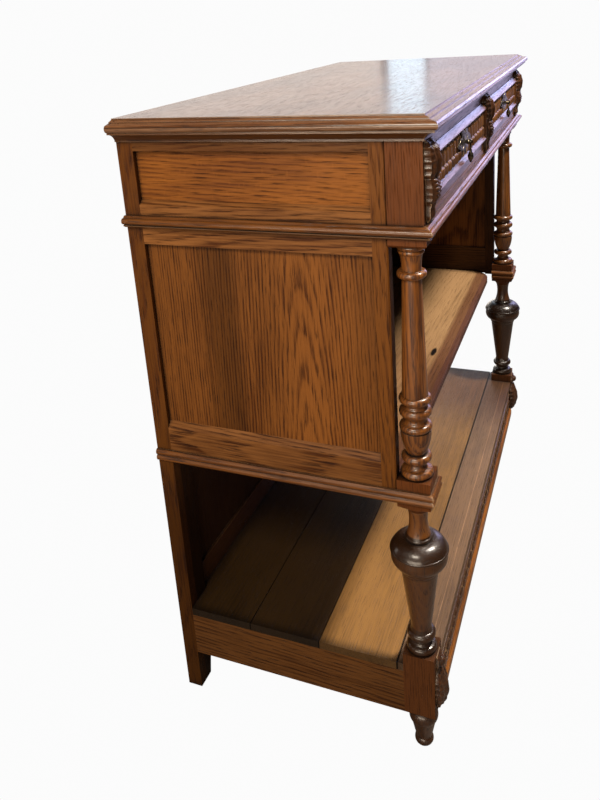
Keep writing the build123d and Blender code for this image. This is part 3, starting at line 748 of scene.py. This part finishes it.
def repeated(name, module_mesh, count, spacing, material):
    """A plain mesh of count copies of a module, spacing millimetres apart along X."""
    module = bpy.data.objects.new(f"{name}_module", module_mesh)
    row = bpy.data.objects.new(f"{name}_row", bpy.data.meshes.new(name))
    for helper in (module, row):
        scene.collection.objects.link(helper)
    modifier = row.modifiers.new("row", "NODES")
    modifier.node_group = rail_repeater
    inputs = {s.name: s.identifier for s in rail_repeater.interface.items_tree if s.in_out == "INPUT"}
    modifier[inputs["Module"]] = module
    modifier[inputs["Count"]] = count
    modifier[inputs["Spacing"]] = float(spacing)
    modifier[inputs["Finish"]] = material
    evaluated = row.evaluated_get(bpy.context.evaluated_depsgraph_get())
    mesh = bpy.data.meshes.new_from_object(evaluated)
    mesh.name = name
    for helper in (module, row):
        bpy.data.objects.remove(helper)
    print(name, "copies", count, "faces", len(mesh.polygons))
    return mesh


# %% [markdown]
# Each drawer's field is a row of upright tongues between deep grooves, and a cup of leaves wraps the foot of each.
# The raised frame round the field belongs to the drawer front itself.

# %% Drawer fields
tongue_count = 16


def tongue(width, height):
    """One hollow flute with a round head, deep grooves at its sides and a leaf cup round its foot."""

    def shape(u, v):
        side, rise = 2 * u - 1, v * height
        edge = min(1.0, (1 - abs(side)) * width / 2 / 1.6)
        out = 0.8 + 3.4 * smooth(edge)
        head = height - 3 - abs(side * width / 2) ** 2 / (width * 0.55)
        if rise < head and rise > height * 0.30:
            hollow = hump(side, 0, 0.62) * min(1, (head - rise) / 2.2) * min(1, (rise - height * 0.30) / 2)
            out -= 2.3 * hollow
        if rise > head:
            out -= 2.6 * min(1, (rise - head) / 1.2) * (1 - smooth(min(1, max(0, (height - rise) / 1.5 - 1))) * 0.2)
        if rise < height * 0.36:
            cup = hump(math.hypot(side * width / 2, (rise - height * 0.17) * 0.9), 0, width * 0.40)
            vein = 0.5 + 0.5 * math.cos(side * 5 * math.pi)
            out += (2.6 - 1.1 * vein) * cup
            out -= 1.6 * hump(rise, height * 0.33, 1.6)
        return side * width / 2, rise, max(0.3, out)

    return shape


frame_width = 12.0
plain_band = 20.0
for side in ("left", "right"):
    low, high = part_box(f"{side}_drawer_front")
    field_width = (high[0] - low[0]) / mm - 2 * frame_width
    field_height = (high[2] - low[2]) / mm - 2 * frame_width - plain_band
    wall = high[1] - 18.0 * mm
    pitch = field_width / tongue_count
    module = carved("tongue", tongue(pitch, field_height), 20, 34)
    mesh = repeated(f"{side}_drawer_tongues", module, tongue_count, pitch, tongue_oak)
    on_front(mesh, (low[0] + high[0]) / 2, wall, low[2] + (plain_band + frame_width) * mm)
    piece(f"{side}_drawer_tongues", mesh, tongue_oak, "carved_oak", f"{side}_drawer")

# %% [markdown]
# The apron under the bottom boards has a band of scrolling leaves with drilled eyes, below a plain bead.

# %% Carved apron band
scroll_count = 18


def scroll(width, height):
    """One leaf scroll of the band, with a drilled eye in its curl and a small one at the joint."""

    def shape(u, v):
        x, z = (u - 0.5) * width, v * height
        wave = height * (0.5 + 0.22 * math.sin(u * 2 * math.pi))
        stem = hump(z, wave, 3.2)
        curl = math.hypot(x - width * 0.2, z - height * 0.56)
        ring = hump(curl, 6.0, 2.6)
        lower = math.hypot(x + width * 0.22, z - height * 0.44)
        leaf_side = hump(lower, 5.0, 2.6)
        out = 0.9 + 2.6 * max(stem, ring, leaf_side)
        out += 1.2 * hump(z, height - 1.6, 1.6) + 1.2 * hump(z, 1.6, 1.6)
        eye = min(curl, lower)
        out -= 2.2 * hump(eye, 0, 2.6)
        out -= 0.7 * (0.5 + 0.5 * math.cos((x * 0.9 + z) * 1.4)) * (1 - max(ring, leaf_side))
        return x, z, max(0.25, out)

    return shape


def bar(width, low, rise, stand_off):
    """A half-round bead along X."""

    def shape(u, v):
        return (u - 0.5) * width, low + v * rise, 0.25 + stand_off * hump(v, 0.5, 0.5)

    return shape


low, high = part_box("front_apron")
apron_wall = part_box("left_base_block")[0][1] + 4.0 * mm
strip_height = 18.0
band_height = 34.0
pitch = (high[0] - low[0]) / mm / scroll_count
module = carved("scroll", scroll(pitch, band_height), 44, 36)
band = repeated("apron_scrolls", module, scroll_count, pitch, carved_oak)
bands = [on_front(band, 0, apron_wall, low[2] + (strip_height + 3) * mm)]
for start, rise, stand_off in ((strip_height + 39, 5, 3.2), (strip_height + 56, 7, 3.4)):
    bead = carved("apron_bead", bar((high[0] - low[0]) / mm, start, rise, stand_off), 2, 12)
    bands.append(on_front(bead, 0, apron_wall, low[2]))
piece("apron_carving", joined(*bands), carved_oak, "carved_oak", "case")

# %% [markdown]
# The brass back plates are cast and pierced: a flat outline with scrolled lobes, holes between its arms, and a
# rounded edge. A filled 2-D curve makes exactly that, since inner splines become holes. The drops are turned.

# %% Brass pulls
def ring_of(curve, points):
    """Adds a closed smooth loop to a flat curve."""
    loop = curve.splines.new("BEZIER")
    loop.bezier_points.add(len(points) - 1)
    for knot, (x, z) in zip(loop.bezier_points, points):
        knot.co = (x, z, 0)
        knot.handle_left_type = knot.handle_right_type = "AUTO"
    loop.use_cyclic_u = True


def plate_outline(half_width, half_height, steps=96):
    """Wide scrolled arms, a tall middle and pointed ends."""
    points = []
    for step in range(steps):
        turn = 2 * math.pi * step / steps
        reach = 0.62 + 0.26 * abs(math.cos(turn)) ** 3 + 0.12 * math.cos(6 * turn) + 0.05 * math.cos(14 * turn)
        tall = 1.15 - 0.3 * abs(math.cos(turn))
        points.append((half_width * reach * math.cos(turn) * 1.06, half_height * reach * math.sin(turn) * tall * 1.5))
    return points


def drop_hole(x, z, length, width, lean):
    """A pierced drop shape."""
    points = []
    for step in range(10):
        turn = 2 * math.pi * step / 10
        along = length * math.cos(turn)
        over = width * math.sin(turn) * (0.75 - 0.25 * math.cos(turn))
        points.append((x + along * math.cos(lean) - over * math.sin(lean), z + along * math.sin(lean) + over * math.cos(lean)))
    return points


def pierced_plate(name, half_width, half_height):
    curve = bpy.data.curves.new(name, "CURVE")
    curve.dimensions, curve.fill_mode = "2D", "BOTH"
    curve.extrude, curve.bevel_depth, curve.bevel_resolution = 0.5, 0.6, 2
    curve.resolution_u = 3
    ring_of(curve, plate_outline(half_width - 1, half_height - 1))
    for way in (-1, 1):
        for rise in (-1, 1):
            ring_of(curve, drop_hole(way * half_width * 0.30, rise * half_height * 0.26, 5.5, 2.6, way * rise * 0.5))
        ring_of(curve, drop_hole(way * half_width * 0.60, 0, 5.0, 1.9, 0))
    holder = bpy.data.objects.new(name, curve)
    scene.collection.objects.link(holder)
    mesh = bpy.data.meshes.new_from_object(holder.evaluated_get(bpy.context.evaluated_depsgraph_get()))
    bpy.data.objects.remove(holder)
    shaper = bmesh.new()
    shaper.from_mesh(mesh)
    bmesh.ops.remove_doubles(shaper, verts=shaper.verts, dist=0.01)
    for vert in shaper.verts:
        dome = max(0.0, 1 - (vert.co.x / half_width) ** 2 - (vert.co.y / half_height) ** 2)
        vert.co.z += 1.1 + 1.6 * dome
    bmesh.ops.recalc_face_normals(shaper, faces=shaper.faces)
    shaper.to_mesh(mesh)
    shaper.free()
    mesh.shade_smooth()
    mesh.set_sharp_from_angle(angle=math.radians(40))
    return mesh


def lathe(name, profile, axis_x, axis_y, steps=40):
    """A turned solid from (radius, height) in metres, about an upright axis. Radius 0 closes an end."""
    shaper = bmesh.new()
    rings = []
    for radius, height in profile:
        if radius == 0:
            rings.append([shaper.verts.new((axis_x, axis_y, height))])
            continue
        turns = [2 * math.pi * step / steps for step in range(steps)]
        rings.append(
            [shaper.verts.new((axis_x + radius * math.cos(t), axis_y + radius * math.sin(t), height)) for t in turns]
        )
    for low_ring, high_ring in zip(rings, rings[1:]):
        for step in range(steps):
            after = (step + 1) % steps
            corners = [low_ring[step % len(low_ring)], low_ring[after % len(low_ring)]]
            corners += [high_ring[after % len(high_ring)], high_ring[step % len(high_ring)]]
            shaper.faces.new(list(dict.fromkeys(corners)))
    bmesh.ops.recalc_face_normals(shaper, faces=shaper.faces)
    mesh = bpy.data.meshes.new(name)
    shaper.to_mesh(mesh)
    shaper.free()
    mesh.shade_smooth()
    return mesh


def turned_ring(name, middle, radius, thick, axis="X"):
    """A torus about a level axis."""
    shaper = bmesh.new()
    around, through_steps = 28, 12
    loops = []
    for i in range(around):
        a = 2 * math.pi * i / around
        loop = []
        for j in range(through_steps):
            b = 2 * math.pi * j / through_steps
            far = radius + thick * math.cos(b)
            loop.append(
                shaper.verts.new(
                    (middle[0] + thick * math.sin(b), middle[1] + far * math.cos(a), middle[2] + far * math.sin(a))
                )
            )
        loops.append(loop)
    for i in range(around):
        for j in range(through_steps):
            k, l = (i + 1) % around, (j + 1) % through_steps
            shaper.faces.new((loops[i][j], loops[k][j], loops[k][l], loops[i][l]))
    bmesh.ops.recalc_face_normals(shaper, faces=shaper.faces)
    mesh = bpy.data.meshes.new(name)
    shaper.to_mesh(mesh)
    shaper.free()
    mesh.shade_smooth()
    return mesh


hinge = {j["child"]: j for j in frame["joints"]}
for side in ("left", "right"):
    low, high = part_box(f"{side}_pull_plate")
    plate = pierced_plate(f"{side}_pull_plate_cast", (high[0] - low[0]) / mm / 2, (high[2] - low[2]) / mm / 2)
    front_low, front_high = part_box(f"{side}_drawer_front")
    pin_x, pin_y, pin_z = [float(c) for c in hinge[f"{side}_pull"]["pos_m"]]
    wall = front_high[1] - 18.0 * mm
    on_front(plate, pin_x, wall - 3.4 * mm, pin_z)
    posts = []
    for way in (-1, 1):
        post = [(0, -3.0), (2.4, -3.0), (2.6, 6.0), (1.8, 8.0), (3.0, 10.0), (3.0, 13.6), (0, 14.6)]
        stud = lathe("post", [(r * mm, h * mm) for r, h in post], 0, 0, 20)
        for vert in stud.vertices:
            x, y, z = vert.co
            vert.co = (pin_x + way * 5.4 * mm + x, wall - z, pin_z + y)
        stud.flip_normals()
        posts.append(stud)
    pin = lathe("pin", [(0, -8.4 * mm), (1.2 * mm, -8.2 * mm), (1.2 * mm, 8.2 * mm), (0, 8.4 * mm)], 0, 0, 16)
    for vert in pin.vertices:
        x, y, z = vert.co
        vert.co = (pin_x + z, pin_y + x, pin_z + y)
    piece(f"{side}_pull_plate_cast", joined(plate, *posts, pin), brass, "antique_brass", f"{side}_drawer", f"{side}_pull_plate")
    drop_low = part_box(f"{side}_pull_drop")[0][2]
    length = (pin_z - drop_low) / mm
    stem = [(0, -length), (1.6, -length + 0.5), (2.2, -length + 2.5), (4.4, -length + 7), (4.9, -length + 10)]
    stem += [(3.6, -length + 14.5), (1.7, -length + 18), (2.6, -length + 19.5), (1.4, -length + 21), (1.3, -3.4), (0, -3.2)]
    bob = lathe("bob", [(r * mm, pin_z + h * mm) for r, h in stem], pin_x, pin_y, 28)
    eye = turned_ring("eye", (pin_x, pin_y, pin_z), 2.7 * mm, 1.2 * mm)
    piece(f"{side}_pull_drop_cast", joined(bob, eye), brass, "antique_brass", f"{side}_pull", f"{side}_pull_drop")


# %% Floor finish
paper = bpy.data.materials.new("pale_floor")
paper.use_nodes = True
leaves = paper.node_tree
white = leaves.nodes["Principled BSDF"]
white.inputs["Base Color"].default_value = (0, 0, 0, 1)
white.inputs["Specular IOR Level"].default_value = 0.0
white.inputs["Emission Color"].default_value = (1, 1, 1, 1)
white.inputs["Emission Strength"].default_value = 0.97
dim = leaves.nodes.new("ShaderNodeBsdfDiffuse")
dim.inputs["Color"].default_value = (0.16, 0.13, 0.11, 1)
leaves.links.new(seen_and_cast(leaves, white, dim).outputs[0], leaves.nodes["Material Output"].inputs["Surface"])
floor.data.materials.append(paper)
scene.view_settings.view_transform = "Standard"

# %% Measure and finish
low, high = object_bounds()
print("visual size", [round(h - l, 4) for l, h in zip(low, high)])
